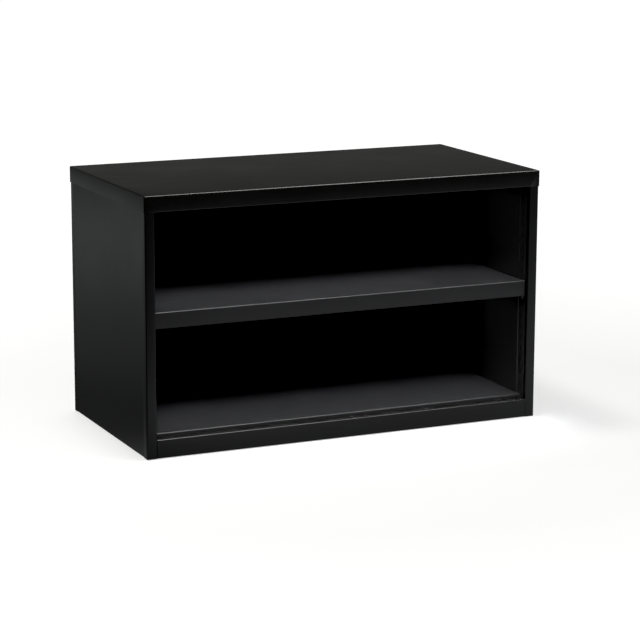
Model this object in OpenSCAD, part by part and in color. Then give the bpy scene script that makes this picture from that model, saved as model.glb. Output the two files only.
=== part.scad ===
// Low two-tier open storage cabinet in folded sheet steel.
// Millimetres. +Z up, +X to the right, the front faces -Y.
// The origin is on the floor, under the middle of the cabinet.

/* [Cabinet] */
// Width across the top cap
cab_w = 914; // [760:1:1100]
// Depth across the top cap
cab_d = 465; // [400:1:520]
// Height from the floor to the top of the cap
cab_h = 551; // [540:1:640]
// Gap between the floor and the case when the glides are screwed home
foot_gap = 2; // [1:0.5:4]
// Width of the front face of each side post
post_w = 22; // [20:1:26]
// How far the front edge of each post returns into the cabinet
post_return = 11; // [8:1:12]

/* [Sheet steel] */
// Gauge of the panels, rails and shelves
sheet = 1; // [0.8:0.1:1.2]
// Gauge of the top cap
cap_sheet = 1.2; // [1:0.1:1.2]
// Outer radius of an ordinary bend
bend_r = 2.5; // [2:0.25:3]
// Clearance between parts that are fitted side by side
fit_gap = 0.3; // [0.2:0.05:0.4]

/* [Top cap] */
// Depth of the lip that hangs down all round the cap
cap_lip = 35; // [30:1:36]
// How far the front and rear lips return inwards
cap_return = 13; // [11:1:14]

/* [Base] */
// Height of the base rails above the floor
base_h = 42; // [40:1:48]
// Depth of the ledge in front of the bottom shelf
ledge_d = 21.5; // [18:0.5:22]
// Step up from the ledge to the bottom shelf
shelf_step = 8; // [6:1:10]

/* [Adjustable shelf] */
// Slot that the shelf clips hang in, counted from 0 at the bottom
shelf_slot = 8; // [3:1:12]
// Height of the shelf's front edge
shelf_edge = 35; // [30:1:38]
// How far the shelf stands back from the front of the posts
shelf_setback = 8; // [5:1:12]

/* [Uprights] */
// Centre height of the lowest slot
slot_z0 = 74.8; // [72:0.1:90]
// Distance between slots
slot_pitch = 25.4; // [20:0.1:26]
// Number of slots in each upright
slot_count = 17; // [14:1:17]
// Width of each upright
upright_w = 28; // [24:1:30]

/* [Glides] */
// Distance of each glide from the outside of the side panel
glide_in_x = 40.5; // [40:0.5:50]
// Distance of each glide from the front or rear of the case
glide_in_y = 44; // [42:1:50]
// Radius of the threaded stem
stem_r = 4; // [4:0.5:5]
// Radius of the round pad of each glide
pad_r = 14; // [12:1:15]

/* [Hidden] */

// Planes that the parts are set out from
case_x = cab_w / 2 - cap_sheet - fit_gap;  // outside of a side panel
case_y = cab_d / 2 - cap_sheet - fit_gap;  // front of the posts, and rear of the case
cap_gap = 0.8;                             // between the cap and the top of the case
case_top = cab_h - cap_sheet - cap_gap;    // top of the case
wall_x = case_x - post_w;                  // inner face of a side wall
lip_z = cab_h - cap_lip;                   // lower edge of the cap
header_z = lip_z + cap_sheet + 0.2;        // underside of the headers
cross_w = 2 * (wall_x - fit_gap);          // length of a rail between the posts
shelf_floor = base_h + shelf_step;         // top of the bottom shelf
rail_flange = 26;                          // width of the inner flanges of rails and headers

// Adjustable shelf and its clips
clip_sheet = 1.5;
clip_drop = 10;                            // clip ledge above the middle of its slot
shelf_flange = 20;                         // height of the shelf's side and rear flanges
clip_ledge = slot_z0 + shelf_slot * slot_pitch + clip_drop;
shelf_z = clip_ledge + 0.1 + shelf_flange; // top of the adjustable shelf
shelf_end_gap = 2.5;                       // between the shelf and each side wall
shelf_rear_gap = 9;                        // between the shelf and the outside of the back
shelf_x = wall_x - shelf_end_gap;          // end of the adjustable shelf
shelf_front = -case_y + shelf_setback;
shelf_rear = case_y - shelf_rear_gap;
shelf_return = 12;                         // height of the boxed edge's inner leg
shelf_box = 10;                            // depth of the boxed front edge
corner_relief = 12;                        // stretch at each end with no side flange

// Uprights, liners and back panel
back_y = case_y - 2 * sheet;               // inner face of the back panel
front_upright_y = -case_y + post_return + 0.5 + upright_w / 2;
rear_upright_y = back_y - 0.2 - upright_w / 2;
upright_foot = base_h + sheet + 0.2;
slot_h = 12;
slot_w = 3;

// Glides: a threaded stem with a hexagonal collar screws into a nut on its bracket and turns in a round foot
bracket_z = 10;
bracket_sheet = 2;
nut_h = 6.5;
nut_r = 7.5;
pad_h = 4.5;
socket_z = 1.5;                            // floor of the socket in the foot
collar_h = 5;
stem_top = 34;
running_gap = 0.05;                        // round the thread, and above and below the back

// Fasteners
screw_r = 2;
screw_hole_r = 2.1;
screw_head_r = 4;
screw_head_h = 1.5;
back_screw_x = case_x - post_w / 2;
back_screw_z = [for (i = [0:5]) 62 + i * (lip_z - 95) / 5];
cap_screw_x = [for (i = [-1:1]) i * cab_w * 0.32];
cap_screw_y = case_y - 6;
anchor_r = 3.5;
anchor_x = 300;
anchor_z = lip_z + 20;

paint = [0.13, 0.13, 0.13];
zinc = [0.62, 0.63, 0.65];
black_zinc = [0.09, 0.09, 0.1];
nylon = [0.06, 0.06, 0.06];

// ---- Outlines -------------------------------------------------------------

function unit(v) = v / norm(v);
function left_of(d) = [-d[1], d[0]];
function cross2(a, b) = a[0] * b[1] - a[1] * b[0];
function turned(v, a) = [v[0] * cos(a) - v[1] * sin(a), v[0] * sin(a) + v[1] * cos(a)];

// Points of one side of the strip round the bend at path point i.
// Side 0 lies on the path, and side 1 lies one sheet thickness to the left of it.
function bend_points(path, i, t, r, side, steps) =
    let (d0 = unit(path[i] - path[i - 1]),
         d1 = unit(path[i + 1] - path[i]),
         n0 = left_of(d0),
         n1 = left_of(d1),
         angle = atan2(cross2(d0, d1), d0 * d1),
         to_left = angle > 0,
         path_r = to_left ? r : r - t,
         side_r = to_left ? r - t : r,
         sense = to_left ? 1 : -1,
         centre = path[i] + sense * path_r * (n0 + n1) / (1 + d0 * d1))
    [for (k = [0:steps]) centre - sense * (side == 0 ? path_r : side_r) * turned(n0, angle * k / steps)];

// Outline of a folded strip of sheet t thick that lies to the left of a path, with outer bend radius r
function folded(path, t = sheet, r = bend_r, steps = 5) =
    let (last = len(path) - 1,
         first_n = left_of(unit(path[1] - path[0])),
         last_n = left_of(unit(path[last] - path[last - 1])),
         near = [for (i = [1:1:last - 1]) each bend_points(path, i, t, r, 0, steps)],
         far = [for (i = [last - 1:-1:1])
                let (b = bend_points(path, i, t, r, 1, steps)) each [for (k = [steps:-1:0]) b[k]]])
    concat([path[0]], near, [path[last]], [path[last] + t * last_n], far, [path[0] + t * first_n]);

// Quarter-round corner from angle a, counter-clockwise
function corner_arc(c, r, a, steps = 5) = [for (k = [0:steps]) c + r * [cos(a + 90 * k / steps), sin(a + 90 * k / steps)]];

// Upright rectangle with its two upper corners rounded
function lid_outline(half, low, high, r) =
    concat([[-half, low], [half, low]],
           corner_arc([half - r, high - r], r, 0),
           corner_arc([-half + r, high - r], r, 90));

// Path of a C channel that opens inwards, from its top flange's edge round to its bottom flange's edge
function c_path(face, flange, low, high) = [[face + flange, high], [face, high], [face, low], [face + flange, low]];

// Path of a hat channel whose rims touch a sheet at height top
function hat_path(w, depth, rim, top) =
    [[-w / 2 - rim, top - sheet], [-w / 2, top - sheet], [-w / 2, top - depth],
     [w / 2, top - depth], [w / 2, top - sheet], [w / 2 + rim, top - sheet]];

// ---- Solids from outlines -------------------------------------------------

// Extrudes an outline drawn in Y and Z along X
module along_x(length) rotate([90, 0, 90]) linear_extrude(length, center = true) children();

// Extrudes an outline drawn in X and Z along Y, between two values of Y
module along_y(from, to) translate([0, to, 0]) rotate([90, 0, 0]) linear_extrude(to - from) children();

// Extrudes a plan outline along Z, between two heights
module along_z(from, to) translate([0, 0, from]) linear_extrude(to - from) children();

module block(low, high) translate(low) cube(high - low);

// Draws a right-hand, front part on the side and at the end asked for
module placed(left = false, rear = false) mirror([left ? 1 : 0, 0, 0]) mirror([0, rear ? 1 : 0, 0]) children();

// ---- Top ------------------------------------------------------------------

module cap_shape(inset, low, r) {
    intersection() {
        along_x(cab_w) polygon(lid_outline(cab_d / 2 - inset, low, cab_h - inset, r));
        along_y(-cab_d / 2, cab_d / 2) polygon(lid_outline(cab_w / 2 - inset, low, cab_h - inset, r));
    }
}

// The inward return under the front lip, and the bend into it
module cap_front_return() {
    along_x(cross_w)
        polygon(folded([[-cab_d / 2, lip_z + 8], [-cab_d / 2, lip_z], [-cab_d / 2 + cap_return, lip_z]], cap_sheet));
}

module top_cap() color(paint) {
    difference() {
        cap_shape(0, lip_z, bend_r);
        cap_shape(cap_sheet, lip_z - 1, bend_r - cap_sheet);
        for (rear = [false, true]) placed(rear = rear)
            block([-cross_w / 2, -cab_d / 2 - 1, lip_z - 1], [cross_w / 2, -case_y + 1, lip_z + 5]);
        for (side = [-1, 1])
            translate([side * anchor_x, case_y - 1, anchor_z]) rotate([-90, 0, 0]) cylinder(h = 5, r = anchor_r, $fn = 32);
    }
    for (rear = [false, true]) placed(rear = rear) difference() {
        cap_front_return();
        for (x = cap_screw_x)
            translate([x, -cap_screw_y, lip_z - 1]) cylinder(h = 4, r = screw_hole_r, $fn = 24);
    }
}

module top_stiffener() color(paint)
    along_x(cross_w - 4) polygon(folded(hat_path(60, 16, 14, cab_h - cap_sheet)));

// Channel between the posts behind the front lip of the cap
module front_header() color(paint) difference() {
    along_x(cross_w) polygon(folded(c_path(-case_y, rail_flange, header_z, case_top)));
    for (x = cap_screw_x)
        translate([x, -cap_screw_y, header_z - 1]) cylinder(h = 4, r = screw_hole_r, $fn = 24);
}

module rear_header() color(paint) difference() {
    placed(rear = true) front_header();
    for (side = [-1, 1])
        translate([side * anchor_x, case_y - 3, anchor_z]) rotate([-90, 0, 0]) cylinder(h = 5, r = anchor_r, $fn = 32);
}

// ---- Sides ----------------------------------------------------------------

// Outer skin, folded at the front into the post and at the rear into a flange
module side_panel() {
    inner_flange = 14;
    corner = 20;
    difference() {
        union() {
            along_z(foot_gap, case_top)
                polygon(folded([[wall_x, -case_y + post_return], [wall_x, -case_y], [case_x, -case_y],
                                [case_x, case_y], [wall_x, case_y]]));
            for (z = [foot_gap, case_top - sheet])
                block([case_x - inner_flange, -case_y + corner, z], [case_x - sheet / 2, case_y - corner, z + sheet]);
        }
        for (z = back_screw_z)
            translate([back_screw_x, case_y - 3, z]) rotate([-90, 0, 0]) cylinder(h = 5, r = screw_hole_r, $fn = 24);
    }
}

module left_side_panel() color(paint) placed(left = true) side_panel();
module right_side_panel() color(paint) side_panel();

// Inner wall between the uprights, with its edges folded outwards
module liner() {
    front = front_upright_y + upright_w / 2 + 0.5;
    rear = rear_upright_y - upright_w / 2 - 0.5;
    along_z(upright_foot, case_top - 2)
        polygon(folded([[wall_x + 10, rear], [wall_x, rear], [wall_x, front], [wall_x + 10, front]]));
}

module left_liner() color(paint) placed(left = true) liner();
module right_liner() color(paint) liner();

// Slotted channel that stands behind the post or in front of the back panel
module upright(y) {
    depth = post_w - sheet - 0.5;
    difference() {
        along_z(upright_foot, case_top - 2) translate([wall_x, y])
            polygon(folded([[depth, upright_w / 2], [0, upright_w / 2], [0, -upright_w / 2], [depth, -upright_w / 2]]));
        for (i = [0:slot_count - 1])
            translate([wall_x, y, slot_z0 + i * slot_pitch]) cube([4 * sheet, slot_w, slot_h], center = true);
    }
}

module left_front_upright() color(paint) placed(left = true) upright(front_upright_y);
module right_front_upright() color(paint) upright(front_upright_y);
module rear_upright() difference() {
    upright(rear_upright_y);
    for (z = back_screw_z)
        translate([back_screw_x, back_y - 4, z]) rotate([-90, 0, 0]) cylinder(h = 5, r = screw_hole_r, $fn = 24);
}

module left_rear_upright() color(paint) placed(left = true) rear_upright();
module right_rear_upright() color(paint) rear_upright();

module back_panel() color(paint) difference() {
    block([-case_x + 3, back_y, base_h + running_gap], [case_x - 3, back_y + sheet, lip_z - running_gap]);
    for (side = [-1, 1], z = back_screw_z)
        translate([side * back_screw_x, back_y - 1, z]) rotate([-90, 0, 0]) cylinder(h = 4, r = screw_hole_r, $fn = 24);
}

// ---- Base and bottom shelf ------------------------------------------------

module base_front_rail() color(paint)
    along_x(cross_w) polygon(folded([[-case_y + ledge_d, base_h], [-case_y, base_h],
                                     [-case_y, foot_gap], [-case_y + rail_flange, foot_gap]]));

module base_rear_rail() color(paint) placed(rear = true) base_front_rail();

// Angle inside the side panel that the uprights stand on
module base_side_rail() {
    end = case_y - 23;
    along_y(-end, end)
        polygon(folded([[case_x - sheet, foot_gap + 2], [case_x - sheet, base_h + sheet], [wall_x + 1, base_h + sheet]]));
}

module left_base_rail() color(paint) placed(left = true) base_side_rail();
module right_base_rail() color(paint) base_side_rail();

// A pan shape: a long outline across the width, with side outlines between its corner reliefs
module pan(half_width, front, rear, relief) {
    difference() {
        along_x(2 * half_width) children(0);
        for (side = [-1, 1])
            block([side > 0 ? half_width - bend_r : -half_width - 1, front + relief, 0],
                  [side > 0 ? half_width + 1 : -half_width + bend_r, rear - relief, cab_h]);
    }
    for (left = [false, true]) placed(left = left)
        along_y(front + relief, rear - relief) children(1);
}

module bottom_shelf() {
    gap = 0.5;
    half = wall_x - gap;
    front = -case_y + ledge_d + gap;
    rear = back_y - gap;
    color(paint) pan(half, front, rear, ledge_d) {
        polygon(folded([[rear, base_h + 0.3], [rear, shelf_floor], [front, shelf_floor], [front, base_h - 14]]));
        polygon(folded([[half, shelf_floor - 19], [half, shelf_floor], [half - 12, shelf_floor]]));
    }
}

module bottom_shelf_stiffener() color(paint)
    along_x(cross_w - 60) polygon(folded(hat_path(50, 18, 14, shelf_floor - sheet)));

// ---- Adjustable shelf and its clips ---------------------------------------

// Shelf with a boxed front edge, a shallow rear flange and returned side flanges
module adjustable_shelf() {
    under = shelf_z - shelf_flange;
    color(paint) pan(shelf_x, shelf_front, shelf_rear, corner_relief) {
        polygon(folded([[shelf_rear - 10, under], [shelf_rear, under], [shelf_rear, shelf_z],
                        [shelf_front, shelf_z], [shelf_front, shelf_z - shelf_edge],
                        [shelf_front + shelf_box, shelf_z - shelf_edge],
                        [shelf_front + shelf_box, shelf_z - shelf_edge + shelf_return]]));
        polygon(folded([[shelf_x - 11, under], [shelf_x, under], [shelf_x, shelf_z], [shelf_x - 14, shelf_z]]));
    }
}

module shelf_stiffener() color(paint)
    along_x(2 * shelf_x - 34) polygon(folded(hat_path(70, 16, 14, shelf_z - sheet)));

// Bent clip with a ledge for the shelf and a hook behind the upright's web
module shelf_clip(y) {
    width = 12;
    plate_x = wall_x - 0.2;
    slot_z = clip_ledge - clip_drop;
    hook_w = slot_w - 0.6;
    along_y(y - width / 2, y + width / 2)
        polygon(folded([[plate_x, clip_ledge - 24], [plate_x, clip_ledge], [plate_x - 14, clip_ledge]], clip_sheet, 2.5));
    block([plate_x - clip_sheet / 2, y - hook_w / 2, slot_z - slot_h / 2 + 0.1],
          [wall_x + 3, y + hook_w / 2, slot_z + 1]);
    block([wall_x + sheet + 0.1, y - hook_w / 2, slot_z - slot_h / 2 - 4],
          [wall_x + 3, y + hook_w / 2, slot_z + 1]);
}

module left_front_shelf_clip() color(zinc) placed(left = true) shelf_clip(front_upright_y);
module right_front_shelf_clip() color(zinc) shelf_clip(front_upright_y);
module left_rear_shelf_clip() color(zinc) placed(left = true) shelf_clip(rear_upright_y);
module right_rear_shelf_clip() color(zinc) shelf_clip(rear_upright_y);

// ---- Glides ---------------------------------------------------------------

// Puts a glide part at its own axis in the right-hand front corner
module at_glide() translate([case_x - glide_in_x, -case_y + glide_in_y, 0]) children();

// Corner plate welded to the front rail and to the base angle
module glide_bracket() {
    inner_x = case_x - glide_in_x - 21;
    outer_x = case_x - 2 * sheet - 0.2;
    tongue_x = wall_x - 2;
    front_y = -case_y + sheet + 0.2;
    step_y = -case_y + post_return + 5;
    back = -case_y + glide_in_y + 22;
    top = bracket_z + 20;
    difference() {
        union() {
            along_x_from(inner_x, tongue_x)
                polygon(folded([[front_y, top], [front_y, bracket_z], [back, bracket_z]], bracket_sheet, 4));
            along_y(step_y, back)
                polygon(folded([[tongue_x - 5, bracket_z], [outer_x, bracket_z], [outer_x, top]], bracket_sheet, 4));
        }
        at_glide() translate([0, 0, bracket_z - 1]) cylinder(h = bracket_sheet + 2, r = stem_r + 0.6, $fn = 32);
    }
}

module along_x_from(from, to) translate([(from + to) / 2, 0, 0]) along_x(to - from) children();

module glide_nut() at_glide() translate([0, 0, bracket_z + bracket_sheet]) difference() {
    cylinder(h = nut_h, r = nut_r, $fn = 6);
    translate([0, 0, -1]) cylinder(h = nut_h + 2, r = stem_r + running_gap, $fn = 40);
}

module glide_stem() at_glide() {
    chamfer = 0.8;
    low = socket_z + 0.1;
    translate([0, 0, low]) cylinder(h = stem_top - chamfer - low, r = stem_r, $fn = 40);
    translate([0, 0, stem_top - chamfer]) cylinder(h = chamfer, r1 = stem_r, r2 = stem_r - chamfer, $fn = 40);
    translate([0, 0, pad_h + 0.1]) cylinder(h = collar_h, r = nut_r, $fn = 6);
}

module glide_foot() at_glide() difference() {
    cylinder(h = pad_h, r = pad_r, $fn = 48);
    translate([0, 0, socket_z]) cylinder(h = pad_h, r = stem_r + running_gap, $fn = 40);
}

module left_front_glide_bracket() color(paint) placed(left = true) glide_bracket();
module right_front_glide_bracket() color(paint) glide_bracket();
module left_rear_glide_bracket() color(paint) placed(left = true, rear = true) glide_bracket();
module right_rear_glide_bracket() color(paint) placed(rear = true) glide_bracket();

module left_front_glide_nut() color(zinc) placed(left = true) glide_nut();
module right_front_glide_nut() color(zinc) glide_nut();
module left_rear_glide_nut() color(zinc) placed(left = true, rear = true) glide_nut();
module right_rear_glide_nut() color(zinc) placed(rear = true) glide_nut();

module left_front_glide_stem() color(zinc) placed(left = true) glide_stem();
module right_front_glide_stem() color(zinc) glide_stem();
module left_rear_glide_stem() color(zinc) placed(left = true, rear = true) glide_stem();
module right_rear_glide_stem() color(zinc) placed(rear = true) glide_stem();

module left_front_glide_foot() color(nylon) placed(left = true) glide_foot();
module right_front_glide_foot() color(nylon) glide_foot();
module left_rear_glide_foot() color(nylon) placed(left = true, rear = true) glide_foot();
module right_rear_glide_foot() color(nylon) placed(rear = true) glide_foot();

// ---- Fasteners ------------------------------------------------------------

// Pan-head screw with its shank along -Z and its head above z = 0
module screw(shank) {
    cylinder(h = screw_head_h, r = screw_head_r, $fn = 24);
    translate([0, 0, -shank]) cylinder(h = shank + 0.2, r = screw_r, $fn = 24);
}

// Screws that hold the rear flanges of the sides to the back panel
module back_panel_screws() color(zinc)
    for (side = [-1, 1], z = back_screw_z)
        translate([side * back_screw_x, case_y, z]) rotate([-90, 0, 0]) screw(8);

// Screws that come up through the cap's returns into the headers
module cap_screws() color(black_zinc)
    for (end = [-1, 1], x = cap_screw_x)
        translate([x, end * cap_screw_y, lip_z]) rotate([180, 0, 0]) screw(9);

// ---- Assembly -------------------------------------------------------------

top_cap();
top_stiffener();
front_header();
rear_header();
left_side_panel();
right_side_panel();
left_liner();
right_liner();
left_front_upright();
right_front_upright();
left_rear_upright();
right_rear_upright();
back_panel();
base_front_rail();
base_rear_rail();
left_base_rail();
right_base_rail();
bottom_shelf();
bottom_shelf_stiffener();
left_front_shelf_clip();
right_front_shelf_clip();
left_rear_shelf_clip();
right_rear_shelf_clip();
adjustable_shelf();
shelf_stiffener();
left_front_glide_bracket();
right_front_glide_bracket();
left_rear_glide_bracket();
right_rear_glide_bracket();
left_front_glide_nut();
right_front_glide_nut();
left_rear_glide_nut();
right_rear_glide_nut();
left_front_glide_stem();
right_front_glide_stem();
left_rear_glide_stem();
right_rear_glide_stem();
left_front_glide_foot();
right_front_glide_foot();
left_rear_glide_foot();
right_rear_glide_foot();
back_panel_screws();
cap_screws();
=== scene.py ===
from math import radians

import bmesh
import bpy
from mathutils import Matrix, Vector


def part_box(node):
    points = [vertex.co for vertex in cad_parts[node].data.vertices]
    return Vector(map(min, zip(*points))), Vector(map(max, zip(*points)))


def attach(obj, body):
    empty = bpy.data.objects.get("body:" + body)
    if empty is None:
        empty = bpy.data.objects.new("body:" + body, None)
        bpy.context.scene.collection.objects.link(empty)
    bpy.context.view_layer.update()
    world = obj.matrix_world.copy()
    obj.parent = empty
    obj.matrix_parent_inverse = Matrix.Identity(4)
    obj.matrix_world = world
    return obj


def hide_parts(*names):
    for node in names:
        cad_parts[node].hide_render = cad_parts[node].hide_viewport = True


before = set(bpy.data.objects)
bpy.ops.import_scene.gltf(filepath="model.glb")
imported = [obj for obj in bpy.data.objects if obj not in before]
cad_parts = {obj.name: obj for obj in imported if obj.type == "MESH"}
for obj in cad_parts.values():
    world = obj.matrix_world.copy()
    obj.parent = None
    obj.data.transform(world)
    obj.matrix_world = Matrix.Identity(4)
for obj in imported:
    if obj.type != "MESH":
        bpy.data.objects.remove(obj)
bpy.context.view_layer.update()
mm = 0.001
scene = bpy.context.scene
print("frame loaded:", len(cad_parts), "nodes")


# Shader groups: grain, rubbed edges with a painted highlight on the fold crests, and dust are shared by the finishes

def addNode(tree, kind, **values):
    node = tree.nodes.new("ShaderNode" + kind)
    for name, value in values.items():
        node.inputs[name.replace("_", " ")].default_value = value
    return node


def mathNode(tree, operation, first, second):
    node = tree.nodes.new("ShaderNodeMath")
    node.operation = operation
    for socket, value in zip(node.inputs, (first, second)):
        if isinstance(value, bpy.types.NodeSocket):
            tree.links.new(value, socket)
        else:
            socket.default_value = value
    return node.outputs[0]


def rangeNode(tree, value, low, high, outLow=0.0, outHigh=1.0):
    node = addNode(tree, "MapRange", From_Min=low, From_Max=high, To_Min=outLow, To_Max=outHigh)
    tree.links.new(value, node.inputs["Value"])
    return node.outputs["Result"]


def mixColour(tree, mask, first, second):
    node = tree.nodes.new("ShaderNodeMix")
    node.data_type = "RGBA"
    tree.links.new(mask, node.inputs["Factor"])
    for socket, value in ((node.inputs["A"], first), (node.inputs["B"], second)):
        if isinstance(value, bpy.types.NodeSocket):
            tree.links.new(value, socket)
        else:
            socket.default_value = (*value, 1)
    return node.outputs["Result"]


def noiseNode(tree, vector, scale, detail=2.0, roughness=0.5):
    node = addNode(tree, "TexNoise", Detail=detail, Roughness=roughness)
    tree.links.new(vector, node.inputs["Vector"])
    if isinstance(scale, bpy.types.NodeSocket):
        tree.links.new(scale, node.inputs["Scale"])
    else:
        node.inputs["Scale"].default_value = scale
    return node.outputs["Fac"]


def startGroup(name, inputs, outputs):
    tree = bpy.data.node_groups.new(name, "ShaderNodeTree")
    for label, kind in inputs:
        tree.interface.new_socket(name=label, in_out="INPUT", socket_type="NodeSocket" + kind)
    for label in outputs:
        tree.interface.new_socket(name=label, in_out="OUTPUT", socket_type="NodeSocketFloat")
    return tree, tree.nodes.new("NodeGroupInput"), tree.nodes.new("NodeGroupOutput")


def makeSprayGrain():
    tree, entry, leave = startGroup("sprayGrain", (("Vector", "Vector"), ("Ripple", "Float"), ("Speck", "Float")),
                                    ("Height", "Mottle"))
    ripple = noiseNode(tree, entry.outputs["Vector"], entry.outputs["Ripple"])
    speck = noiseNode(tree, entry.outputs["Vector"], entry.outputs["Speck"], 1.0)
    height = mathNode(tree, "ADD", mathNode(tree, "MULTIPLY", ripple, 0.65), mathNode(tree, "MULTIPLY", speck, 0.35))
    tree.links.new(height, leave.inputs["Height"])
    cloud = noiseNode(tree, entry.outputs["Vector"], 7.0, 4.0, 0.6)  # slow drift of the coat, over 15 cm
    tree.links.new(rangeNode(tree, cloud, 0.3, 0.7), leave.inputs["Mottle"])
    return tree


# Mask of lighter paint along the outside fold crests: edge wear and a painted highlight
def makeEdgeRubAndHighlight():
    tree, entry, leave = startGroup("edgeRubAndHighlight", (("Vector", "Vector"), ("Amount", "Float")), ("Mask",))
    crest = tree.nodes.new("ShaderNodeAttribute")  # 1 along the crest of every outside fold
    crest.attribute_name = "foldCrest"
    patchy = rangeNode(tree, noiseNode(tree, entry.outputs["Vector"], 60.0, 5.0, 0.7), 0.45, 0.75)
    wornAndHighlit = mathNode(tree, "MULTIPLY", crest.outputs["Fac"], patchy)
    tree.links.new(mathNode(tree, "MULTIPLY", wornAndHighlit, entry.outputs["Amount"]), leave.inputs["Mask"])
    return tree


def makeSettledDust():
    tree, entry, leave = startGroup("settledDust", (("Vector", "Vector"), ("Amount", "Float")), ("Mask",))
    geometry = tree.nodes.new("ShaderNodeNewGeometry")
    split = tree.nodes.new("ShaderNodeSeparateXYZ")
    tree.links.new(geometry.outputs["Normal"], split.inputs[0])
    upward = rangeNode(tree, split.outputs["Z"], 0.7, 1.0)
    drift = rangeNode(tree, noiseNode(tree, entry.outputs["Vector"], 16.0, 6.0, 0.65), 0.35, 0.8)
    grit = rangeNode(tree, noiseNode(tree, entry.outputs["Vector"], 900.0, 1.0), 0.45, 0.75, 0.5, 1.0)
    laid = mathNode(tree, "MULTIPLY", mathNode(tree, "MULTIPLY", upward, drift), grit)
    tree.links.new(mathNode(tree, "MULTIPLY", laid, entry.outputs["Amount"]), leave.inputs["Mask"])
    return tree


sprayGrain, edgeRubAndHighlight, settledDust = makeSprayGrain(), makeEdgeRubAndHighlight(), makeSettledDust()


def useGroup(tree, group, vector, **values):
    node = tree.nodes.new("ShaderNodeGroup")
    node.node_tree = group
    tree.links.new(vector, node.inputs["Vector"])
    for name, value in values.items():
        node.inputs[name].default_value = value
    return node.outputs


def startMaterial(name):
    material = bpy.data.materials.new(name)
    material.use_nodes = True
    tree = material.node_tree
    shader = tree.nodes["Principled BSDF"]
    place = tree.nodes.new("ShaderNodeTexCoord").outputs["Object"]
    return material, tree, shader, place


def addBump(tree, shader, height, depth, strength):
    bump = addNode(tree, "Bump", Strength=strength, Distance=depth)
    tree.links.new(height, bump.inputs["Height"])
    tree.links.new(bump.outputs["Normal"], shader.inputs["Normal"])


# Finishes

casePaint = {"colour": (0.0058, 0.0057, 0.0053), "drift": (0.0072, 0.0071, 0.0067), "rubbedAndHighlit": (0.03, 0.03, 0.029),
             "dust": (0.05, 0.049, 0.046), "rough": (0.22, 0.29), "ripple": 480.0, "speck": 2300.0,
             "depth": 0.00003, "bump": 0.35, "rubAndHighlight": 0.12, "dustAmount": 0.008, "ior": 1.5, "gloss": 0.5,
             "rubbedSmoother": 0.12, "dustDuller": 0.6}
# Painted light: the shelves take a lighter copy of the case paint in place of the light that falls on them
litShelfPaint = {**casePaint, "colour": (0.0195, 0.0195, 0.0202), "drift": (0.0235, 0.0235, 0.0247), "dustAmount": 0.12,
              "rough": (0.32, 0.4)}
# Painted shade: the parts inside and under the case take a darker, duller copy of the case paint
shadedInnerPaint = {**casePaint, "colour": (0.0045, 0.0045, 0.0044), "drift": (0.0058, 0.0058, 0.0056), "rubAndHighlight": 0.1,
              "rough": (0.36, 0.44), "gloss": 0.15}
# Painted light: the liners and uprights take a lighter, glossier copy of the case paint in place of the light on the
# inner walls
litWallPaint = {**casePaint, "colour": (0.024, 0.024, 0.0237), "drift": (0.0295, 0.0295, 0.029), "rubAndHighlight": 0.1,
             "rough": (0.15, 0.22), "ior": 1.75}
# the back panel: the painted-shade copy inside, the case's gloss outside
backPaintShadedInside = {**shadedInnerPaint, "rearGloss": 0.5}


def makePowderCoat(name, coat):
    material, tree, shader, place = startMaterial(name)
    grain = useGroup(tree, sprayGrain, place, Ripple=coat["ripple"], Speck=coat["speck"])
    rubAndHighlight = useGroup(tree, edgeRubAndHighlight, place, Amount=coat["rubAndHighlight"])["Mask"]
    dust = useGroup(tree, settledDust, place, Amount=coat["dustAmount"])["Mask"]
    colour = mixColour(tree, grain["Mottle"], coat["colour"], coat["drift"])
    # edge wear and painted highlight: the fold crests take the lighter rubbed colour
    colour = mixColour(tree, rubAndHighlight, colour, coat["rubbedAndHighlit"])
    colour = mixColour(tree, dust, colour, coat["dust"])
    tree.links.new(colour, shader.inputs["Base Color"])
    smooth, dull = coat["rough"]
    rough = rangeNode(tree, grain["Mottle"], 0.0, 1.0, smooth, dull)
    rough = mathNode(tree, "SUBTRACT", rough, mathNode(tree, "MULTIPLY", rubAndHighlight, coat["rubbedSmoother"]))
    rough = mathNode(tree, "ADD", rough, mathNode(tree, "MULTIPLY", dust, coat["dustDuller"]))
    tree.links.new(rough, shader.inputs["Roughness"])
    addBump(tree, shader, grain["Height"], coat["depth"], coat["bump"])
    shader.inputs["IOR"].default_value, shader.inputs["Specular IOR Level"].default_value = coat["ior"], coat["gloss"]
    if "rearGloss" in coat:  # the outside of the back shines as the case does; the inside keeps the painted-shade copy
        facing = tree.nodes.new("ShaderNodeSeparateXYZ")
        tree.links.new(tree.nodes.new("ShaderNodeTexCoord").outputs["Normal"], facing.inputs[0])
        gloss = rangeNode(tree, facing.outputs["Y"], 0.0, 1.0, coat["gloss"], coat["rearGloss"])
        tree.links.new(gloss, shader.inputs["Specular IOR Level"])
    return material


zincPlate = {"colour": (0.52, 0.54, 0.57), "stain": (0.33, 0.34, 0.35), "rough": (0.28, 0.48), "spangle": 260.0,
             "brush": 1560.0, "drawn": 0.08, "depth": 0.00002, "bump": 0.4}
blackZinc = {**zincPlate, "colour": (0.012, 0.012, 0.013), "stain": (0.03, 0.03, 0.032), "rough": (0.4, 0.6)}


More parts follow.
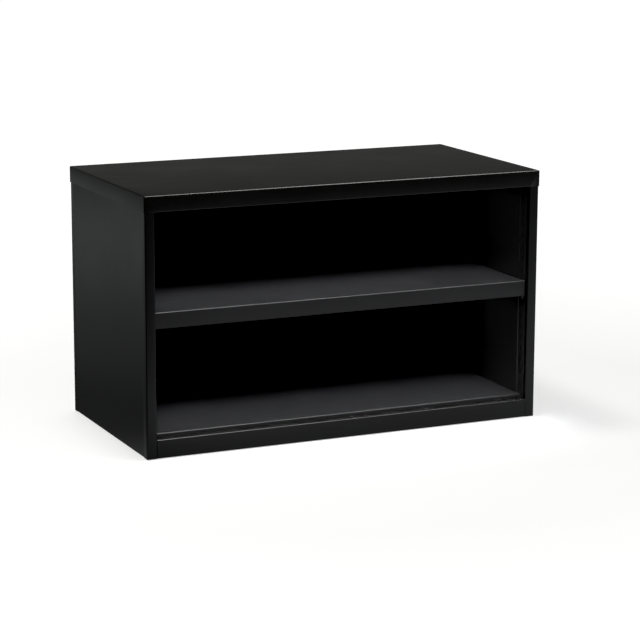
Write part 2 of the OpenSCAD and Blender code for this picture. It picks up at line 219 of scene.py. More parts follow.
def makeZinc(name, zinc):
    material, tree, shader, place = startMaterial(name)
    mapping = addNode(tree, "Mapping", Scale=(1, 1, zinc["drawn"]))  # drawn out along the wire it was made from
    tree.links.new(place, mapping.inputs["Vector"])
    brushed = noiseNode(tree, mapping.outputs["Vector"], zinc["brush"], 3.0)
    spangle = noiseNode(tree, place, zinc["spangle"], 3.0, 0.7)
    tree.links.new(mixColour(tree, rangeNode(tree, spangle, 0.4, 0.75), zinc["colour"], zinc["stain"]),
                   shader.inputs["Base Color"])
    tree.links.new(rangeNode(tree, brushed, 0.3, 0.7, *zinc["rough"]), shader.inputs["Roughness"])
    shader.inputs["Metallic"].default_value = 1.0
    addBump(tree, shader, brushed, zinc["depth"], zinc["bump"])
    return material


nylonBlack = {"colour": (0.014, 0.014, 0.014), "rough": (0.45, 0.62), "ripple": 1500.0, "speck": 5200.0,
              "depth": 0.00004, "bump": 0.5}


def makeNylon(name, nylon):
    material, tree, shader, place = startMaterial(name)
    grain = useGroup(tree, sprayGrain, place, Ripple=nylon["ripple"], Speck=nylon["speck"])
    shader.inputs["Base Color"].default_value = (*nylon["colour"], 1)
    tree.links.new(rangeNode(tree, grain["Mottle"], 0.0, 1.0, *nylon["rough"]), shader.inputs["Roughness"])
    addBump(tree, shader, grain["Height"], nylon["depth"], nylon["bump"])
    return material


caseCoat = makePowderCoat("caseCoat", casePaint)
litShelfCoat = makePowderCoat("litShelfCoat", litShelfPaint)
shadedInnerCoat = makePowderCoat("shadedInnerCoat", shadedInnerPaint)
litWallCoat = makePowderCoat("litWallCoat", litWallPaint)
backCoatShadedInside = makePowderCoat("backCoatShadedInside", backPaintShadedInside)
zincFinish = makeZinc("zincFinish", zincPlate)
blackScrew = makeZinc("blackScrew", blackZinc)
nylonFinish = makeNylon("nylonFinish", nylonBlack)
print("finishes made")


# Sheet metal tools

sheetMetal = {"gauge": 1.0 * mm, "bend": 2.5 * mm, "bendSteps": 8, "edge": 0.22 * mm}
outlineAxes = {"X": (0, 1, 2), "Y": (1, 0, 2), "Z": (2, 0, 1)}  # axis of the run, then the two of the outline


def spot(run, value, pair):
    point = Vector((0, 0, 0))
    for axis, number in zip(outlineAxes[run], (value, *pair)):
        point[axis] = number
    return point


def newVerts(result):
    return [item for item in result["geom"] if isinstance(item, bmesh.types.BMVert)]


# Every face is turned so that the one nearest a point looks along a direction
def turnFaces(bm, point, direction):
    bmesh.ops.recalc_face_normals(bm, faces=bm.faces)
    nearest = min(bm.faces, key=lambda face: (face.calc_center_median() - Vector(point)).length)
    if nearest.normal.dot(direction) < 0:
        bmesh.ops.reverse_faces(bm, faces=bm.faces)


# A strip of flat faces along an outline; the sheet lies to the left of the outline, so it faces right
def startStrip(path, run, low, high):
    bm = bmesh.new()
    chain = [bm.verts.new(spot(run, low, pair)) for pair in path]
    edges = [bm.edges.new(ends) for ends in zip(chain, chain[1:])]
    grown = bmesh.ops.extrude_edge_only(bm, edges=edges)
    bmesh.ops.translate(bm, verts=newVerts(grown), vec=spot(run, high - low, (0, 0)))
    (a0, b0), (a1, b1) = path[:2]
    turnFaces(bm, spot(run, (low + high) / 2, ((a0 + a1) / 2, (b0 + b1) / 2)), spot(run, 0, (b1 - b0, a0 - a1)))
    return bm


def rimEdges(bm, test):
    return [edge for edge in bm.edges if edge.is_boundary and test((edge.verts[0].co + edge.verts[1].co) / 2)]


def addFlap(bm, edges, *moves):
    for move in moves:
        grown = bmesh.ops.extrude_edge_only(bm, edges=edges)
        fresh = set(newVerts(grown))
        bmesh.ops.translate(bm, verts=list(fresh), vec=move)
        edges = [item for item in grown["geom"] if isinstance(item, bmesh.types.BMEdge) and fresh >= set(item.verts)]


def cutAcross(bm, axis, values):
    for value in values:
        plane = Vector((0, 0, 0))
        plane[axis] = 1
        geom = bm.verts[:] + bm.edges[:] + bm.faces[:]
        bmesh.ops.bisect_plane(bm, geom=geom, dist=1e-6, plane_co=plane * value, plane_no=plane)


# Rounds the sharp folds: full radius outside a bend, one gauge less inside it
def roundFolds(bm, bend, gauge):
    crest = bm.verts.layers.float.new("foldCrest")
    for outside, offset in ((True, bend), (False, bend - gauge)):
        folds = [edge for edge in bm.edges if len(edge.link_faces) == 2
                 and abs(edge.calc_face_angle()) > radians(60) and (edge.calc_face_angle_signed() > 0) == outside]
        if not folds:
            continue
        made = bmesh.ops.bevel(bm, geom=folds, offset=offset, offset_type="OFFSET", segments=sheetMetal["bendSteps"],
                               profile=0.5, affect="EDGES", material=-1, clamp_overlap=True)
        bent = set(made["faces"])
        for vert in made["verts"]:
            if outside and bent.issuperset(vert.link_faces):
                vert[crest] = 1


# Punches a round-cornered hole through a flat face, before the sheet has its gauge
def punchHole(bm, centre, axis, size, radius):
    centre = Vector(centre)
    first, second = [a for a in range(3) if a != axis]
    cell = None
    for cutAxis, half in ((first, size[0] / 2 + mm), (second, size[1] / 2 + mm)):
        for side in (-1, 1):
            cell = min((face for face in bm.faces if bmesh.geometry.intersect_face_point(face, centre)),
                       key=lambda face: abs((face.verts[0].co - centre)[axis]) + (abs(face.normal[axis]) < 0.9))
            plane = Vector((0, 0, 0))
            plane[cutAxis] = 1
            geom = [cell, *cell.edges, *cell.verts]
            bmesh.ops.bisect_plane(bm, geom=geom, dist=1e-7, plane_co=centre + plane * half * side, plane_no=plane)
    cell = min((face for face in bm.faces if bmesh.geometry.intersect_face_point(face, centre)),
               key=lambda face: abs((face.verts[0].co - centre)[axis]) + (abs(face.normal[axis]) < 0.9))
    bmesh.ops.inset_region(bm, faces=[cell], thickness=0.5 * mm, use_boundary=True)
    for vert in cell.verts:
        vert.co[first] = centre[first] + (1 if vert.co[first] > centre[first] else -1) * size[0] / 2
        vert.co[second] = centre[second] + (1 if vert.co[second] > centre[second] else -1) * size[1] / 2
    corners = list(cell.verts)
    bmesh.ops.delete(bm, geom=[cell], context="FACES_ONLY")
    bmesh.ops.bevel(bm, geom=corners, offset=radius * 0.999, offset_type="OFFSET", segments=5, profile=0.5,
                    affect="VERTICES", material=-1)


def mirrorX(bm):
    bmesh.ops.transform(bm, matrix=Matrix.Scale(-1, 4, (1, 0, 0)), verts=bm.verts)


def mirrorY(bm):
    bmesh.ops.transform(bm, matrix=Matrix.Scale(-1, 4, (0, 1, 0)), verts=bm.verts)


# Turns a finished bmesh into a piece that rides on a body and stands for CAD nodes
def placePiece(bm, name, body, nodes, finish, edge=None, smoothAngle=40):
    bmesh.ops.remove_doubles(bm, verts=bm.verts, dist=1e-6)
    bmesh.ops.recalc_face_normals(bm, faces=bm.faces)
    mesh = bpy.data.meshes.new(name)
    bm.to_mesh(mesh)
    bm.free()
    mesh.shade_smooth()
    mesh.set_sharp_from_angle(angle=radians(smoothAngle))
    mesh.materials.append(finish)
    piece = bpy.data.objects.new(name, mesh)
    scene.collection.objects.link(piece)
    if edge:
        bevel = piece.modifiers.new("cutEdge", "BEVEL")
        bevel.width, bevel.segments = edge, 2
        bevel.limit_method, bevel.angle_limit = "ANGLE", radians(60)
        bevel.harden_normals = True
    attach(piece, body)
    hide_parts(*nodes)
    return piece


def giveGauge(bm, gauge):
    bmesh.ops.solidify(bm, geom=bm.faces[:], thickness=gauge)


def placeSheet(bm, name, nodes, finish, body="case", bend=sheetMetal["bend"], gauge=sheetMetal["gauge"]):
    roundFolds(bm, bend, gauge)
    giveGauge(bm, gauge)
    return placePiece(bm, name, body, nodes, finish, sheetMetal["edge"])


# Top cap

capShape = {"gauge": 1.2 * mm, "bend": 2.5 * mm, "return": 13 * mm, "anchorAt": (300 * mm, 536 * mm),
            "anchor": 7 * mm}


def makeTopCap(cap):
    low, high = [Vector(corner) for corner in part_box("top_cap")]
    bm = bmesh.new()
    bmesh.ops.create_cube(bm, size=1)
    bmesh.ops.transform(bm, matrix=Matrix.LocRotScale((low + high) / 2, None, high - low), verts=bm.verts)
    floorFace = min(bm.faces, key=lambda face: face.calc_center_median().z)
    bmesh.ops.delete(bm, geom=[floorFace], context="FACES_ONLY")
    half = Vector(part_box("front_header")[1]).x
    cutAcross(bm, 0, (-half, half))
    for side in (-1, 1):
        rim = rimEdges(bm, lambda co: abs(co.x) < half and co.y * side > high.y - mm)
        addFlap(bm, rim, (0, -side * cap["return"], 0))
    turnFaces(bm, (0, 0, high.z), (0, 0, 1))
    across, up = cap["anchorAt"]
    for side in (-1, 1):
        punchHole(bm, (side * across, high.y, up), 1, (cap["anchor"], cap["anchor"]), cap["anchor"] / 2)
    placeSheet(bm, "topCap", ["top_cap"], caseCoat, bend=cap["bend"], gauge=cap["gauge"])


# Sides

sideShape = {"postReturn": 11 * mm, "flange": 14 * mm, "relief": 20 * mm, "linerEdge": 10 * mm}
slots = {"first": 74.8 * mm, "pitch": 25.4 * mm, "count": 17, "size": (3 * mm, 12 * mm)}


def makeSidePanel(name, node, left, side):
    low, high = [Vector(corner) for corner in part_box("right_side_panel")]
    path = [(low.x, low.y + side["postReturn"]), (low.x, low.y), (high.x, low.y), (high.x, high.y), (low.x, high.y)]
    bm = startStrip(path, "Z", low.z, high.z)
    reach = high.y - side["relief"]
    cutAcross(bm, 1, (-reach, reach))
    for z in (low.z, high.z):
        rim = rimEdges(bm, lambda co: abs(co.z - z) < 1e-6 and abs(co.y) < reach and co.x > high.x - 1e-6)
        addFlap(bm, rim, (-side["flange"], 0, 0))
    turnFaces(bm, (high.x, 0, (low.z + high.z) / 2), (1, 0, 0))
    if left:
        mirrorX(bm)
        turnFaces(bm, (-high.x, 0, (low.z + high.z) / 2), (-1, 0, 0))
    placeSheet(bm, name, [node], caseCoat)


def makeLiner(name, node, left, side):
    low, high = [Vector(corner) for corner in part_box("right_liner")]
    edge = low.x + side["linerEdge"]
    bm = startStrip([(edge, high.y), (low.x, high.y), (low.x, low.y), (edge, low.y)], "Z", low.z, high.z)
    if left:
        mirrorX(bm)
        turnFaces(bm, (-low.x, 0, (low.z + high.z) / 2), (1, 0, 0))
    placeSheet(bm, name, [node], litWallCoat)


def makeUpright(name, node, left, cad):
    low, high = [Vector(corner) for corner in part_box(cad)]
    path = [(high.x, high.y), (low.x, high.y), (low.x, low.y), (high.x, low.y)]
    bm = startStrip(path, "Z", low.z, high.z)
    for i in range(slots["count"]):
        centre = (low.x, (low.y + high.y) / 2, slots["first"] + i * slots["pitch"])
        punchHole(bm, centre, 0, slots["size"], slots["size"][0] / 2)
    if left:
        mirrorX(bm)
        turnFaces(bm, (-low.x, low.y + 6 * mm, low.z), (1, 0, 0))
    placeSheet(bm, name, [node], litWallCoat)


def makeSides():
    for hand, left in (("left", True), ("right", False)):
        makeSidePanel(hand + "SidePanel", hand + "_side_panel", left, sideShape)
        makeLiner(hand + "Liner", hand + "_liner", left, sideShape)
        for end in ("front", "rear"):
            makeUpright(f"{hand}{end.title()}Upright", f"{hand}_{end}_upright", left, f"right_{end}_upright")


# Headers, rails and stiffeners

railShape = {"ledge": 21.5 * mm, "hatRim": 14 * mm}


def makeHeader(name, node, rear):
    low, high = [Vector(corner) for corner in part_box("front_header")]
    path = [(high.y, high.z), (low.y, high.z), (low.y, low.z), (high.y, low.z)]
    bm = startStrip(path, "X", low.x, high.x)
    if rear:
        mirrorY(bm)
        turnFaces(bm, (0, -low.y, (low.z + high.z) / 2), (0, 1, 0))
        across, up = capShape["anchorAt"]
        for side in (-1, 1):
            punchHole(bm, (side * across, -low.y, up), 1, (capShape["anchor"],) * 2, capShape["anchor"] / 2)
    placeSheet(bm, name, [node], shadedInnerCoat)


def makeBaseRail(name, node, rear):
    low, high = [Vector(corner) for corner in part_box("base_front_rail")]
    path = [(low.y + railShape["ledge"], high.z), (low.y, high.z), (low.y, low.z), (high.y, low.z)]
    bm = startStrip(path, "X", low.x, high.x)
    if rear:
        mirrorY(bm)
        turnFaces(bm, (0, -low.y, (low.z + high.z) / 2), (0, 1, 0))
    placeSheet(bm, name, [node], caseCoat)


def makeSideRail(name, node, left):
    low, high = [Vector(corner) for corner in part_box("right_base_rail")]
    bm = startStrip([(high.x, low.z), (high.x, high.z), (low.x, high.z)], "Y", low.y, high.y)
    if left:
        mirrorX(bm)
        turnFaces(bm, (-high.x, 0, (low.z + high.z) / 2), (-1, 0, 0))
    placeSheet(bm, name, [node], shadedInnerCoat)


def makeHat(name, node, body, finish):
    low, high = [Vector(corner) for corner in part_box(node)]
    gauge, rim = sheetMetal["gauge"], railShape["hatRim"]
    top = high.z - gauge
    path = [(low.y, top), (low.y + rim, top), (low.y + rim, low.z), (high.y - rim, low.z), (high.y - rim, top),
            (high.y, top)]
    placeSheet(startStrip(path, "X", low.x, high.x), name, [node], finish, body)


def makeRails():
    makeHeader("frontHeader", "front_header", False)
    makeHeader("rearHeader", "rear_header", True)
    makeBaseRail("baseFrontRail", "base_front_rail", False)
    makeBaseRail("baseRearRail", "base_rear_rail", True)
    makeSideRail("leftBaseRail", "left_base_rail", True)
    makeSideRail("rightBaseRail", "right_base_rail", False)
    makeHat("topStiffener", "top_stiffener", "case", shadedInnerCoat)
    makeHat("bottomShelfStiffener", "bottom_shelf_stiffener", "case", shadedInnerCoat)
    makeHat("shelfStiffener", "shelf_stiffener", "shelf", litShelfCoat)


# Shelves

bottomPan = {"relief": 21.5 * mm, "rearFlange": 7.7 * mm, "sideFlange": 19 * mm}
shelfPan = {"relief": 12 * mm, "flange": 20 * mm, "frontEdge": 35 * mm, "box": 10 * mm, "boxReturn": 12 * mm,
            "rearReturn": 10 * mm, "sideReturn": 11 * mm}


def addSideFlaps(bm, low, high, relief, *moves):
    front, rear = low.y + relief, high.y - relief
    cutAcross(bm, 1, (front, rear))
    for side in (-1, 1):
        rim = rimEdges(bm, lambda co: co.x * side > high.x - 1e-6 and front < co.y < rear and co.z > high.z - 1e-6)
        addFlap(bm, rim, *[(move[0] * side, move[1], move[2]) for move in moves])
    turnFaces(bm, (0, (low.y + high.y) / 2, high.z), (0, 0, 1))


def makeBottomShelf(pan):
    low, high = [Vector(corner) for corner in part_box("bottom_shelf")]
    path = [(high.y, high.z - pan["rearFlange"]), (high.y, high.z), (low.y, high.z), (low.y, low.z)]
    bm = startStrip(path, "X", low.x, high.x)
    addSideFlaps(bm, low, high, pan["relief"], (0, 0, -pan["sideFlange"]))
    placeSheet(bm, "bottomShelf", ["bottom_shelf"], litShelfCoat)


def makeAdjustableShelf(pan):
    low, high = [Vector(corner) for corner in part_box("adjustable_shelf")]
    under, edge = high.z - pan["flange"], high.z - pan["frontEdge"]
    path = [(high.y - pan["rearReturn"], under), (high.y, under), (high.y, high.z), (low.y, high.z), (low.y, edge),
            (low.y + pan["box"], edge), (low.y + pan["box"], edge + pan["boxReturn"])]
    bm = startStrip(path, "X", low.x, high.x)
    addSideFlaps(bm, low, high, pan["relief"], (0, 0, -pan["flange"]), (-pan["sideReturn"], 0, 0))
    placeSheet(bm, "adjustableShelf", ["adjustable_shelf"], litShelfCoat, "shelf")


# Shelf clips

clipShape = {"gauge": 1.5 * mm, "ledge": 14 * mm, "plate": 24 * mm, "corner": 2.5 * mm, "drop": 10 * mm,
             "bend": 2.5 * mm, "hook": (2.4 * mm, 4 * mm), "hookRoot": 0.7 * mm, "hookTip": 1.9 * mm,
             "play": 0.1 * mm}


def addBlock(bm, low, high):
    made = bmesh.ops.create_cube(bm, size=1)
    low, high = Vector(low), Vector(high)
    bmesh.ops.transform(bm, matrix=Matrix.LocRotScale((low + high) / 2, None, high - low), verts=made["verts"])


def makeClip(name, node, left, clip):
    low, high = [Vector(corner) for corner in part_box(node.replace("left", "right"))]
    plate = low.x + clip["ledge"]  # face that bears on the upright
    bm = startStrip([(plate, high.z - clip["plate"]), (plate, high.z), (low.x, high.z)], "Y", low.y, high.y)
    corners = [vert for vert in bm.verts if len(vert.link_faces) == 1]
    bmesh.ops.bevel(bm, geom=corners, offset=clip["corner"], segments=4, profile=0.5, affect="VERTICES", material=-1)
    roundFolds(bm, clip["bend"], clip["gauge"])
    giveGauge(bm, clip["gauge"])
    middle, slotZ = (low.y + high.y) / 2, high.z - clip["drop"]
    wide, drop = clip["hook"][0] / 2, clip["hook"][1]
    slotFoot = slotZ - slots["size"][1] / 2
    addBlock(bm, (plate - clip["hookRoot"], middle - wide, slotFoot + clip["play"]),
             (high.x, middle + wide, slotZ + mm))
    addBlock(bm, (high.x - clip["hookTip"], middle - wide, slotFoot - drop), (high.x, middle + wide, slotZ + mm))
    if left:
        mirrorX(bm)
    placePiece(bm, name, "case", [node], zincFinish, sheetMetal["edge"])


# Levelling glides

glideShape = {"thread": (3.4 * mm, 4.0 * mm, 1.25 * mm), "collar": (7.5 * mm, 4.6 * mm, 9.6 * mm), "neck": 3.4 * mm,
              "turnSteps": 28, "bracketGauge": 2 * mm, "bracketBend": 4 * mm, "hole": 9.2 * mm,
              "notch": (1.7 * mm, 14.8 * mm)}
footProfile = [(0, 0.5), (4, 0.5), (4.5, 0), (9, 0), (9.4, 0.5), (10.8, 0.5), (11.2, 0), (13, 0), (13.7, 0.3),
               (14, 1), (14, 2.4), (13.6, 3.1), (12.6, 3.5), (8.4, 4.1), (7.4, 4.5), (0, 4.5)]


def spinProfile(bm, points, axisAt, steps):
    chain = [bm.verts.new((axisAt.x + r * mm, axisAt.y, z * mm)) for r, z in points]
    edges = [bm.edges.new(ends) for ends in zip(chain, chain[1:])]
    bmesh.ops.spin(bm, geom=chain + edges, cent=axisAt, axis=(0, 0, 1), angle=radians(360), steps=steps,
                   use_merge=True)
    bmesh.ops.remove_doubles(bm, verts=bm.verts, dist=1e-6)


def middleOf(node):
    low, high = [Vector(corner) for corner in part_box(node)]
    return Vector(((low.x + high.x) / 2, (low.y + high.y) / 2, 0)), low, high


def makeFoot(name, node, body):
    centre = middleOf(node)[0]
    bm = bmesh.new()
    spinProfile(bm, footProfile, centre, 48)
    placePiece(bm, name, body, [node], nylonFinish, smoothAngle=30)


# The thread is one tall saw-tooth edge turned once while it rises by a pitch
def makeStem(name, node, body, glide):
    centre, low, high = middleOf(node)
    root, crest, pitch = glide["thread"]
    across, collarLow, collarHigh = glide["collar"]
    bm = bmesh.new()
    chain, z = [], collarHigh - 2 * pitch
    while z < high.z + pitch:
        for r, rise in ((root, 0.06), (crest, 0.44), (crest, 0.56), (root, 0.94)):
            chain.append(bm.verts.new((centre.x + r, centre.y, z + rise * pitch)))
        z += pitch
    edges = [bm.edges.new(ends) for ends in zip(chain, chain[1:])]
    steps = glide["turnSteps"]
    bmesh.ops.spin(bm, geom=chain + edges, cent=centre, axis=(0, 0, 1), dvec=(0, 0, pitch / steps),
                   angle=radians(360), steps=steps)
    bmesh.ops.remove_doubles(bm, verts=bm.verts, dist=1e-6)
    for z, clearUp in ((high.z, True), (collarHigh - 0.2 * mm, False)):
        geom = bm.verts[:] + bm.edges[:] + bm.faces[:]
        bmesh.ops.bisect_plane(bm, geom=geom, dist=1e-7, plane_co=(0, 0, z), plane_no=(0, 0, 1), clear_outer=clearUp,
                               clear_inner=not clearUp)
    bmesh.ops.holes_fill(bm, edges=[edge for edge in bm.edges if edge.is_boundary], sides=0)
    collar = bmesh.ops.create_cone(bm, cap_ends=True, segments=6, radius1=across, radius2=across,
                                   depth=collarHigh - collarLow)["verts"]
    bmesh.ops.translate(bm, verts=collar, vec=centre + Vector((0, 0, (collarLow + collarHigh) / 2)))
    bmesh.ops.bevel(bm, geom=collar, offset=0.8 * mm, segments=1, profile=0.5, affect="VERTICES", material=-1)
    neck = bmesh.ops.create_cone(bm, cap_ends=True, segments=32, radius1=glide["neck"], radius2=glide["neck"],
                                 depth=collarLow + mm - low.z)["verts"]
    bmesh.ops.translate(bm, verts=neck, vec=centre + Vector((0, 0, (collarLow + mm + low.z) / 2)))
    placePiece(bm, name, body, [node], zincFinish, smoothAngle=35)


def makeBracket(name, node, left, rear, glide):
    low, high = [Vector(corner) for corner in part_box("right_front_glide_bracket")]
    tongue = Vector(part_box("front_header")[1]).x - glide["notch"][0]
    step = low.y + glide["notch"][1]  # the plate is notched round the post
    axisAt = middleOf("right_front_glide_stem")[0]
    bm = bmesh.new()
    corners = [bm.verts.new(co) for co in ((low.x, low.y, low.z), (high.x, low.y, low.z), (high.x, high.y, low.z),
                                           (low.x, high.y, low.z))]
    bm.faces.new(corners)
    cutAcross(bm, 0, (tongue,))
    cutAcross(bm, 1, (step,))
    notch = [face for face in bm.faces if face.calc_center_median().x > tongue and face.calc_center_median().y < step]
    bmesh.ops.delete(bm, geom=notch, context="FACES")
    addFlap(bm, rimEdges(bm, lambda co: co.y < low.y + 1e-6), (0, 0, high.z - low.z))
    addFlap(bm, rimEdges(bm, lambda co: co.x > high.x - 1e-6 and co.z < low.z + 1e-6), (0, 0, high.z - low.z))
    turnFaces(bm, (low.x, high.y, low.z), (0, 0, -1))
    punchHole(bm, (axisAt.x, axisAt.y, low.z), 2, (glide["hole"],) * 2, glide["hole"] / 2)
    roundFolds(bm, glide["bracketBend"], glide["bracketGauge"])
    giveGauge(bm, glide["bracketGauge"])
    if left:
        mirrorX(bm)
    if rear:
        mirrorY(bm)
    placePiece(bm, name, "case", [node], shadedInnerCoat, sheetMetal["edge"])


def makeCorners():
    for hand in ("left", "right"):
        for end in ("front", "rear"):
            corner, plain = f"{hand}_{end}", hand + end.title()
            makeClip(plain + "ShelfClip", corner + "_shelf_clip", hand == "left", clipShape)
            makeBracket(plain + "GlideBracket", corner + "_glide_bracket", hand == "left", end == "rear", glideShape)
            makeStem(plain + "GlideStem", corner + "_glide_stem", corner + "_stem", glideShape)
            makeFoot(plain + "GlideFoot", corner + "_glide_foot", corner + "_foot")


# Screws

screwShape = {"head": [(0, 1.5), (1.4, 1.45), (2.6, 1.2), (3.5, 0.75), (4, 0.2), (4, 0), (2, 0)],
              "recess": (3.6, 0.8, 1.0), "top": 1.6, "clear": 2, "shank": 2, "radius": 4 * mm, "turnStep": 1.1}


def makeScrewHead(shank):
    bm = bmesh.new()
    spinProfile(bm, [*screwShape["head"], (screwShape["shank"], -shank), (0, -shank)], Vector((0, 0, 0)), 24)
    bmesh.ops.recalc_face_normals(bm, faces=bm.faces)
    mesh = bpy.data.meshes.new("screwHead")
    bm.to_mesh(mesh)
    bm.free()
    long, wide, deep = [value * mm for value in screwShape["recess"]]
    cross = bmesh.new()
    for x, y in ((long, wide), (wide, long)):
        addBlock(cross, (-x / 2, -y / 2, screwShape["top"] * mm - deep), (x / 2, y / 2, screwShape["clear"] * mm))
    crossMesh = bpy.data.meshes.new("driverCross")
    cross.to_mesh(crossMesh)
    cross.free()
    head = bpy.data.objects.new("screwHead", mesh)
    cutter = bpy.data.objects.new("driverCross", crossMesh)
    for item in (head, cutter):
        scene.collection.objects.link(item)
    cut = head.modifiers.new("driverCross", "BOOLEAN")
    cut.operation, cut.object, cut.solver, cut.use_self = "DIFFERENCE", cutter, "EXACT", True
    bpy.context.view_layer.update()
    done = bpy.data.meshes.new_from_object(head.evaluated_get(bpy.context.evaluated_depsgraph_get()))
    for item in (head, cutter):
        bpy.data.objects.remove(item)
    return done


def placeScrews(name, node, shank, turn, spots, finish):
    template = makeScrewHead(shank)
    bm = bmesh.new()
    for number, place in enumerate(spots):
        before = set(bm.verts)
        bm.from_mesh(template)
        fresh = [vert for vert in bm.verts if vert not in before]
        spin = Matrix.Rotation(number * screwShape["turnStep"], 4, "Z")  # every recess stops at its own angle
        bmesh.ops.transform(bm, matrix=Matrix.Translation(place) @ turn @ spin, verts=fresh)
    placePiece(bm, name, "case", [node], finish, smoothAngle=35)


screwRows = {"backFirst": 62 * mm, "backStep": 84.2 * mm, "backCount": 6, "capStep": 292.48 * mm,
             "headHeight": 1.5 * mm, "backShank": 8, "capShank": 9}


def makeScrews(rows):
    low, high = [Vector(corner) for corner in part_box("back_panel_screws")]
    backX, backY = high.x - screwShape["radius"], high.y - rows["headHeight"]
    spots = [Vector((side * backX, backY, rows["backFirst"] + i * rows["backStep"])) for side in (-1, 1)
             for i in range(rows["backCount"])]
    placeScrews("backPanelScrews", "back_panel_screws", rows["backShank"], Matrix.Rotation(radians(-90), 4, "X"),
                spots, zincFinish)
    low, high = [Vector(corner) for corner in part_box("cap_screws")]
    capY, capZ = high.y - screwShape["radius"], low.z + rows["headHeight"]
    spots = [Vector((i * rows["capStep"], end * capY, capZ)) for end in (-1, 1) for i in (-1, 0, 1)]
    placeScrews("capScrews", "cap_screws", rows["capShank"], Matrix.Rotation(radians(180), 4, "X"), spots, blackScrew)


makeTopCap(capShape)
makeSides()
makeRails()
makeBottomShelf(bottomPan)
makeAdjustableShelf(shelfPan)
makeCorners()
makeScrews(screwRows)
glideNuts = [(f"{hand}_{end}_glide_nut", zincFinish) for hand in ("left", "right") for end in ("front", "rear")]
for node, finish in [("back_panel", backCoatShadedInside)] + glideNuts:
    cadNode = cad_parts[node]
    cadNode.data.materials.clear()
    cadNode.data.materials.append(finish)


# Floor, light and camera

floorLook = {"half": 12.0, "white": (0.655, 1.0), "whiteReach": (0.9, 2.6), "shade": 0.4, "tint": (0.96, 0.98, 1, 1),
             "base": 0.03, "pools": {"frontRight": ((1.0, -0.8), 2.0, 0.52), "nearLeft": ((-0.25, -0.55), 0.65, 0.24),
                                     "farRight": ((1.9, -2.7), 1.3, 0.16), "rearLeft": ((-1.7, 2.8), 3.0, 0.25),
                                     "left": ((-0.9, 0.5), 0.9, 0.045), "behind": ((0.7, 1.4), 1.5, 1.0),
                                     "right": ((1.5, 0.7), 1.4, 0.9)}}


def distanceFrom(tree, place, centre):
    node = addNode(tree, "VectorMath")
    node.operation = "DISTANCE"
    tree.links.new(place, node.inputs[0])
    node.inputs[1].default_value = (*centre, 0)
    return node.outputs["Value"]


# The floor looks white and takes a soft shadow; the coat's gloss sees it as pools of light in a dark studio
def makeFloor(look):
    bm = bmesh.new()
    bmesh.ops.create_grid(bm, x_segments=8, y_segments=8, size=look["half"])
    mesh = bpy.data.meshes.new("studioFloor")
    bm.to_mesh(mesh)
    bm.free()
    floor = bpy.data.objects.new("studioFloor", mesh)
    scene.collection.objects.link(floor)
    material = bpy.data.materials.new("studioFloor")
    material.use_nodes = True
    tree = material.node_tree
    tree.nodes.remove(tree.nodes["Principled BSDF"])
    rays = tree.nodes.new("ShaderNodeLightPath")
    geometry = tree.nodes.new("ShaderNodeNewGeometry")
    place = tree.nodes.new("ShaderNodeTexCoord").outputs["Object"]
    glow = addNode(tree, "Emission", Color=(1, 1, 1, 1))
    spread = distanceFrom(tree, place, (0, 0))
    tree.links.new(rangeNode(tree, spread, *look["whiteReach"], *look["white"]), glow.inputs["Strength"])
    lit = addNode(tree, "BsdfDiffuse", Color=(look["shade"],) * 3 + (1,))
    seen = tree.nodes.new("ShaderNodeAddShader")
    tree.links.new(glow.outputs[0], seen.inputs[0])
    tree.links.new(lit.outputs[0], seen.inputs[1])
    strength = rangeNode(tree, spread, 3.0, 6.0, look["base"], 0.0)
    for centre, radius, level in look["pools"].values():
        fade = rangeNode(tree, distanceFrom(tree, place, centre), 0.0, radius, level, 0.0)
        fade.node.interpolation_type = "SMOOTHSTEP"
        strength = mathNode(tree, "ADD", strength, fade)
    pool = addNode(tree, "Emission", Color=look["tint"])
    tree.links.new(strength, pool.inputs["Strength"])
    byRay = tree.nodes.new("ShaderNodeMixShader")
    tree.links.new(rays.outputs["Is Camera Ray"], byRay.inputs[0])
    tree.links.new(pool.outputs[0], byRay.inputs[1])
    tree.links.new(seen.outputs[0], byRay.inputs[2])
    under = tree.nodes.new("ShaderNodeMixShader")
    clear = tree.nodes.new("ShaderNodeBsdfTransparent")
    tree.links.new(geometry.outputs["Backfacing"], under.inputs[0])
    tree.links.new(byRay.outputs[0], under.inputs[1])
    tree.links.new(clear.outputs[0], under.inputs[2])
    tree.links.new(under.outputs[0], tree.nodes["Material Output"].inputs["Surface"])
    mesh.materials.append(material)


studio = {"room": ((0.0, 0.09), (0.26, 0.09), (0.34, 0.02), (0.75, 0.03), (1.0, 0.06)), "backdrop": (1, 1, 1, 1)}


# Low walls all round give the coat its sheen at a slant; the studio is dark above them
def makeWorld(look):
    world = bpy.data.worlds.new("studio")
    world.use_nodes = True
    scene.world = world
    tree = world.node_tree
    room = tree.nodes["Background"]
    split = tree.nodes.new("ShaderNodeSeparateXYZ")
    tree.links.new(tree.nodes.new("ShaderNodeTexCoord").outputs["Generated"], split.inputs[0])
    ramp = tree.nodes.new("ShaderNodeValToRGB")
    stops = ramp.color_ramp.elements
    while len(stops) < len(look["room"]):
        stops.new(0.5)
    for stop, (height, level) in zip(stops, look["room"]):
        stop.position, stop.color = height, (level, level, level * 0.98, 1)
    tree.links.new(split.outputs["Z"], ramp.inputs["Fac"])
    tree.links.new(ramp.outputs["Color"], room.inputs["Color"])
    backdrop = addNode(tree, "Background", Color=look["backdrop"])
    rays = tree.nodes.new("ShaderNodeLightPath")
    mix = tree.nodes.new("ShaderNodeMixShader")
    tree.links.new(rays.outputs["Is Camera Ray"], mix.inputs[0])
    tree.links.new(room.outputs[0], mix.inputs[1])
    tree.links.new(backdrop.outputs[0], mix.inputs[2])
    tree.links.new(mix.outputs[0], tree.nodes["World Output"].inputs["Surface"])


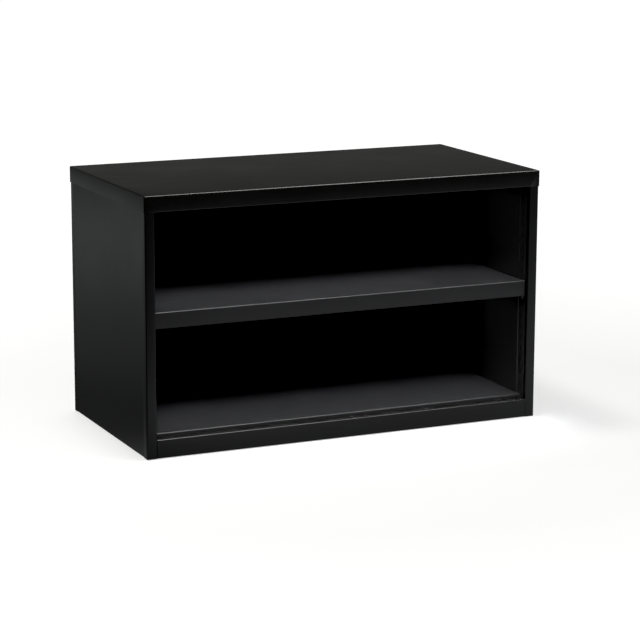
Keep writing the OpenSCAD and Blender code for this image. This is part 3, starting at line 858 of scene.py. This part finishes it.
def addSoftbox(name, place, aim, size, power, colour=(1, 1, 1), matt=True, gloss=True, spread=180):
    light = bpy.data.lights.new(name, "AREA")
    light.shape, light.size, light.size_y = "RECTANGLE", *size
    light.energy, light.color, light.spread = power, colour, radians(spread)
    lamp = bpy.data.objects.new(name, light)
    lamp.location = place
    lamp.rotation_euler = (Vector(aim) - Vector(place)).to_track_quat("-Z", "Y").to_euler()
    lamp.visible_camera, lamp.visible_diffuse, lamp.visible_glossy = False, matt, gloss
    scene.collection.objects.link(lamp)


lamps = {  # place, aim, size, watts, colour, and whether paint and gloss see it
    "overFront": ((0.6, -1.4, 2.4), (0, 0, 0.3), (2.4, 1.0), 24, (1, 0.99, 0.97), True, True),
    "edgeStrip": ((0.8, -0.75, 2.4), (0.1, -0.2, 0.4), (2.6, 1.1), 72, (1, 1, 1), False, True),
    "leftWall": ((-2.3, 0.3, 1.2), (-0.45, 0, 0.3), (1.0, 0.8), 22, (1, 0.99, 0.96), True, False),
    "overFloor": ((-0.35, 0.5, 3.0), (0, 0, 0), (0.6, 0.6), 46, (1, 0.99, 0.97), True, False)}
bayLight = {"upper": 1.45, "lower": 1.8, "colour": (0.97, 0.97, 1), "width": 0.86, "depth": 0.3,
            "forward": 0.035, "under": 11 * mm, "spread": 60}


def makeLights():
    for name, (place, aim, size, watts, colour, matt, gloss) in lamps.items():
        addSoftbox(name, place, aim, size, watts, colour, matt, gloss)
    low, high = [Vector(corner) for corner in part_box("adjustable_shelf")]
    bayTop = Vector(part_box("top_cap")[0]).z
    for name, ceiling in (("upper", bayTop), ("lower", low.z)):  # flat panels under the cap and the shelf
        y, z = low.y + bayLight["forward"], ceiling - bayLight["under"]
        addSoftbox(name + "Bay", (0, y, z), (0, y, z - 1), (bayLight["width"], bayLight["depth"]), bayLight[name],
                   bayLight["colour"], True, False, bayLight["spread"])


cameraSet = {"place": (-2.062, -4.5759, 1.282), "turn": -24.674, "tilt": -12.024, "roll": 0.195, "lens": 130.81}


def makeCamera(settings):
    data = bpy.data.cameras.new("viewer")
    data.lens, data.sensor_width = settings["lens"], 36
    camera = bpy.data.objects.new("viewer", data)
    camera.location = settings["place"]
    camera.rotation_euler = (radians(90 + settings["tilt"]), 0, radians(settings["turn"]))
    camera.rotation_euler.rotate_axis("Z", radians(settings["roll"]))
    scene.collection.objects.link(camera)
    scene.camera = camera


makeFloor(floorLook)
makeWorld(studio)
makeLights()
makeCamera(cameraSet)
scene.view_settings.view_transform = "Standard"
scene.view_settings.use_curve_mapping = True  # a print's black: the deepest tones close up
scene.view_settings.curve_mapping.black_level = (0.003, 0.003, 0.003)
scene.view_settings.curve_mapping.update()
print("studio made")
